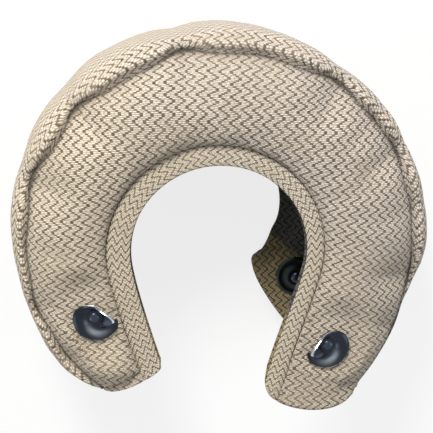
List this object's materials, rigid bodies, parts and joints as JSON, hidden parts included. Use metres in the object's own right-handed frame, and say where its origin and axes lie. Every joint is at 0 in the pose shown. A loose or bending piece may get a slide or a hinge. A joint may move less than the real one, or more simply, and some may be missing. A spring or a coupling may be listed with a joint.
{
  "type": "turbo heat blanket",
  "caption": "C-shaped padded heat blanket for a turbine housing: woven covers, wool cores and inner liners sewn to flat hems, with stamped lacing hooks at its open ends.",
  "frame": {"origin": "centre of the base of the whole part, on the surface that it lies on", "axes": "+Z along the bore axis, from the rear panel that it lies on to the front panel; +Y away from the open ends of the C, +X to the right in the picture"},
  "size_m": [0.2464, 0.2298, 0.0882],
  "materials": {
    "heat_cloth": "matt herringbone weave",
    "lining_cloth": "matt dark weave",
    "insulation_wool": "matt fibre",
    "thread": "twisted thread",
    "black_steel": "smooth black, semi-gloss",
    "rivet_steel": "smooth black, semi-gloss",
    "washer_steel": "smooth black, semi-gloss"
  },
  "bodies": {
    "root": {"front_cover": "heat_cloth", "front_liner": "lining_cloth", "front_wool": "insulation_wool", "rear_cover": "heat_cloth", "rear_liner": "lining_cloth", "rear_wool": "insulation_wool", "rim_cover": "heat_cloth", "rim_liner": "lining_cloth", "rim_wool": "insulation_wool", "lacing_hook_front_left": "black_steel", "rivet_front_left": "rivet_steel", "backing_washer_front_left": "washer_steel", "lacing_hook_front_right": "black_steel", "rivet_front_right": "rivet_steel", "backing_washer_front_right": "washer_steel", "lacing_hook_rear_left": "black_steel", "rivet_rear_left": "rivet_steel", "backing_washer_rear_left": "washer_steel", "lacing_hook_rear_right": "black_steel", "rivet_rear_right": "rivet_steel", "backing_washer_rear_right": "washer_steel", "front_hem_stitching": "thread", "rear_hem_stitching": "thread"}
  },
  "joints": []
}
